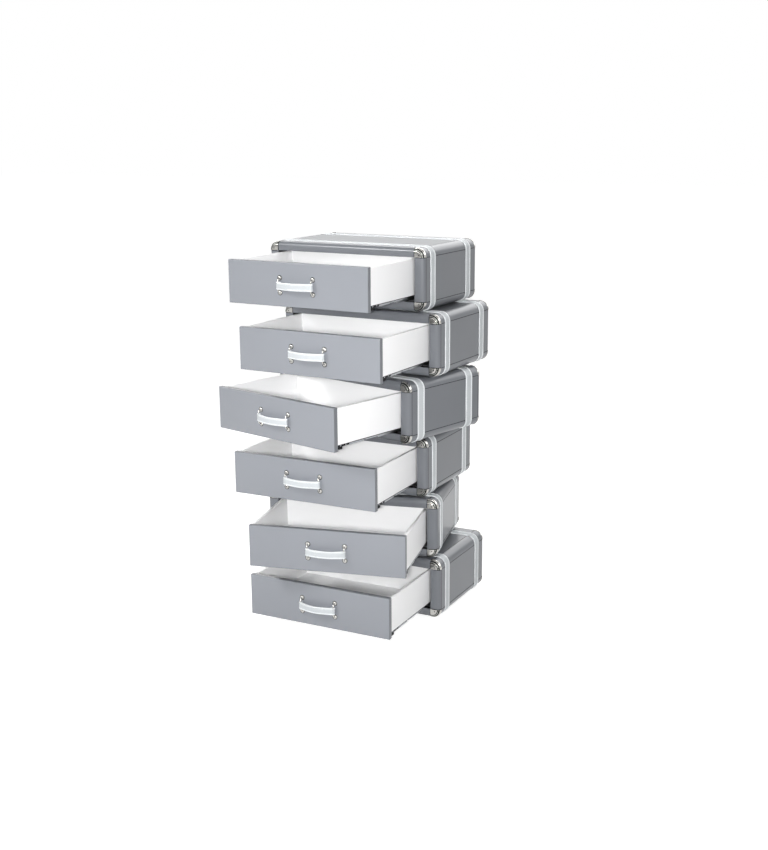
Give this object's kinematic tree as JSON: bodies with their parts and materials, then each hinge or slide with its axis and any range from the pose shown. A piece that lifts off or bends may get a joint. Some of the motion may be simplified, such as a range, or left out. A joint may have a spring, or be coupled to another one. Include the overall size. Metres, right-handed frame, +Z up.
{
  "type": "chest on chest",
  "caption": "Staggered chest of stacked trunk-style drawer cases in grey lacquer, with white leather bands and strap handles, nickel corner caps and white drawers on full-extension runners.",
  "frame": {"origin": "middle of the bounding box at floor level, with the drawers open as in the picture", "axes": "+Z up, +Y to the back of the lowest case, +X to its right as seen from the front"},
  "size_m": [0.7786, 0.8722, 1.3732],
  "materials": {
    "case_lacquer": "gloss",
    "front_lacquer": "satin",
    "white_lacquer": "satin",
    "back_board": "satin",
    "white_leather": "satin",
    "nickel": "polished",
    "zinc_steel": "satin",
    "black_steel": "matte",
    "black_plastic": "matte",
    "black_rubber": "matte"
  },
  "bodies": {
    "stack": {"case_1_shell": "case_lacquer", "case_1_bands": "white_leather", "case_2_shell": "case_lacquer", "case_2_bands": "white_leather", "case_3_shell": "case_lacquer", "case_3_bands": "white_leather", "case_4_shell": "case_lacquer", "case_4_bands": "white_leather", "case_5_shell": "case_lacquer", "case_5_bands": "white_leather", "case_6_shell": "case_lacquer", "case_6_bands": "white_leather", "corner_caps": "nickel", "back_panels": "back_board", "runner_cabinet_members": "zinc_steel", "stack_plates": "black_steel", "floor_pads": "black_rubber"},
    "drawer_1": {"drawer_1_box": "white_lacquer", "drawer_1_front": "front_lacquer", "runner_1_drawer_members": "zinc_steel", "runner_1_clips": "black_plastic", "handle_1_strap": "white_leather", "handle_1_mounts": "nickel"},
    "runner_1": {"runner_1_middle_members": "zinc_steel"},
    "drawer_2": {"drawer_2_box": "white_lacquer", "drawer_2_front": "front_lacquer", "runner_2_drawer_members": "zinc_steel", "runner_2_clips": "black_plastic", "handle_2_strap": "white_leather", "handle_2_mounts": "nickel"},
    "runner_2": {"runner_2_middle_members": "zinc_steel"},
    "drawer_3": {"drawer_3_box": "white_lacquer", "drawer_3_front": "front_lacquer", "runner_3_drawer_members": "zinc_steel", "runner_3_clips": "black_plastic", "handle_3_strap": "white_leather", "handle_3_mounts": "nickel"},
    "runner_3": {"runner_3_middle_members": "zinc_steel"},
    "drawer_4": {"drawer_4_box": "white_lacquer", "drawer_4_front": "front_lacquer", "runner_4_drawer_members": "zinc_steel", "runner_4_clips": "black_plastic", "handle_4_strap": "white_leather", "handle_4_mounts": "nickel"},
    "runner_4": {"runner_4_middle_members": "zinc_steel"},
    "drawer_5": {"drawer_5_box": "white_lacquer", "drawer_5_front": "front_lacquer", "runner_5_drawer_members": "zinc_steel", "runner_5_clips": "black_plastic", "handle_5_strap": "white_leather", "handle_5_mounts": "nickel"},
    "runner_5": {"runner_5_middle_members": "zinc_steel"},
    "drawer_6": {"drawer_6_box": "white_lacquer", "drawer_6_front": "front_lacquer", "runner_6_drawer_members": "zinc_steel", "runner_6_clips": "black_plastic", "handle_6_strap": "white_leather", "handle_6_mounts": "nickel"},
    "runner_6": {"runner_6_middle_members": "zinc_steel"}
  },
  "joints": [
    {"name": "drawer_1_slide", "type": "slide", "parent": "stack", "child": "drawer_1", "axis": [0, -1, 0], "range_m": [-0.329, 0.021]},
    {"name": "runner_1_slide", "type": "slide", "parent": "stack", "child": "runner_1", "axis": [0, -1, 0], "range_m": [-0.1645, 0.0105]},
    {"name": "drawer_2_slide", "type": "slide", "parent": "stack", "child": "drawer_2", "axis": [0.2181, -0.9759, 0], "range_m": [-0.324, 0.026]},
    {"name": "runner_2_slide", "type": "slide", "parent": "stack", "child": "runner_2", "axis": [0.2181, -0.9759, 0], "range_m": [-0.162, 0.013]},
    {"name": "drawer_3_slide", "type": "slide", "parent": "stack", "child": "drawer_3", "axis": [0.007, -1, 0], "range_m": [-0.327, 0.023]},
    {"name": "runner_3_slide", "type": "slide", "parent": "stack", "child": "runner_3", "axis": [0.007, -1, 0], "range_m": [-0.1635, 0.0115]},
    {"name": "drawer_4_slide", "type": "slide", "parent": "stack", "child": "drawer_4", "axis": [-0.2436, -0.9699, 0], "range_m": [-0.337, 0.013]},
    {"name": "runner_4_slide", "type": "slide", "parent": "stack", "child": "runner_4", "axis": [-0.2436, -0.9699, 0], "range_m": [-0.1685, 0.0065]},
    {"name": "drawer_5_slide", "type": "slide", "parent": "stack", "child": "drawer_5", "axis": [-0.0471, -0.9989, 0], "range_m": [-0.339, 0.011]},
    {"name": "runner_5_slide", "type": "slide", "parent": "stack", "child": "runner_5", "axis": [-0.0471, -0.9989, 0], "range_m": [-0.1695, 0.0055]},
    {"name": "drawer_6_slide", "type": "slide", "parent": "stack", "child": "drawer_6", "axis": [-0.0506, -0.9987, 0], "range_m": [-0.311, 0.039]},
    {"name": "runner_6_slide", "type": "slide", "parent": "stack", "child": "runner_6", "axis": [-0.0506, -0.9987, 0], "range_m": [-0.1555, 0.0195]}
  ],
  "couplings": [
    {"joint": "runner_1_slide", "follows": "drawer_1_slide", "ratio": 0.5},
    {"joint": "runner_2_slide", "follows": "drawer_2_slide", "ratio": 0.5},
    {"joint": "runner_3_slide", "follows": "drawer_3_slide", "ratio": 0.5},
    {"joint": "runner_4_slide", "follows": "drawer_4_slide", "ratio": 0.5},
    {"joint": "runner_5_slide", "follows": "drawer_5_slide", "ratio": 0.5},
    {"joint": "runner_6_slide", "follows": "drawer_6_slide", "ratio": 0.5}
  ]
}
